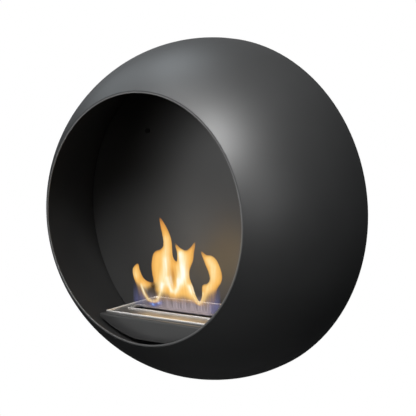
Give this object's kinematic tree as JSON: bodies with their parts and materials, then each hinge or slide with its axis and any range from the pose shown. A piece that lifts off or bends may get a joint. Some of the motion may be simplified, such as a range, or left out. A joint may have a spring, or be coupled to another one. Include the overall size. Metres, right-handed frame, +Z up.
{
  "type": "bioethanol fireplace",
  "caption": "Wall-hung ball-shaped black steel bioethanol fireplace with a round front opening and a lift-out slot burner with a sliding damper on a tray.",
  "frame": {"origin": "on the wall face, on the dome's axis", "axes": "+Y into the wall along the dome's axis, +Z up, +X to the right as seen from the room"},
  "size_m": [0.5999, 0.208, 0.6],
  "materials": {
    "shell_black": "satin",
    "firebox_black": "matt",
    "screw_black": "satin",
    "burner_steel": "brushed",
    "zinc_steel": "zinc plated",
    "bumper_rubber": "matt",
    "ceramic_wool": "fibrous",
    "fibre_board": "fibrous"
  },
  "bodies": {
    "hearth": {"outer_shell": "shell_black", "inner_liner": "firebox_black", "back_panel": "firebox_black", "burner_tray": "firebox_black", "tray_bracket_left": "firebox_black", "tray_bracket_right": "firebox_black", "panel_screws": "screw_black", "tray_screws": "screw_black", "rear_plate": "zinc_steel", "shell_screws": "zinc_steel", "panel_spacers": "zinc_steel", "hanger_rail": "zinc_steel", "hanger_screws": "zinc_steel", "wall_plate": "zinc_steel", "wall_bumpers": "bumper_rubber", "insulation_board": "fibre_board"},
    "burner": {"burner_top": "burner_steel", "slot_frame": "burner_steel", "burner_tank": "burner_steel", "wool_pad": "ceramic_wool", "wool_grid": "burner_steel"},
    "damper": {"damper_plate": "burner_steel"}
  },
  "joints": [
    {"name": "burner_lift", "type": "slide", "parent": "hearth", "child": "burner", "axis": [0, 0, 1], "range_m": [0, 0.045]},
    {"name": "damper_slide", "type": "slide", "parent": "burner", "child": "damper", "axis": [0, -1, 0], "range_m": [0, 0.0267]}
  ]
}
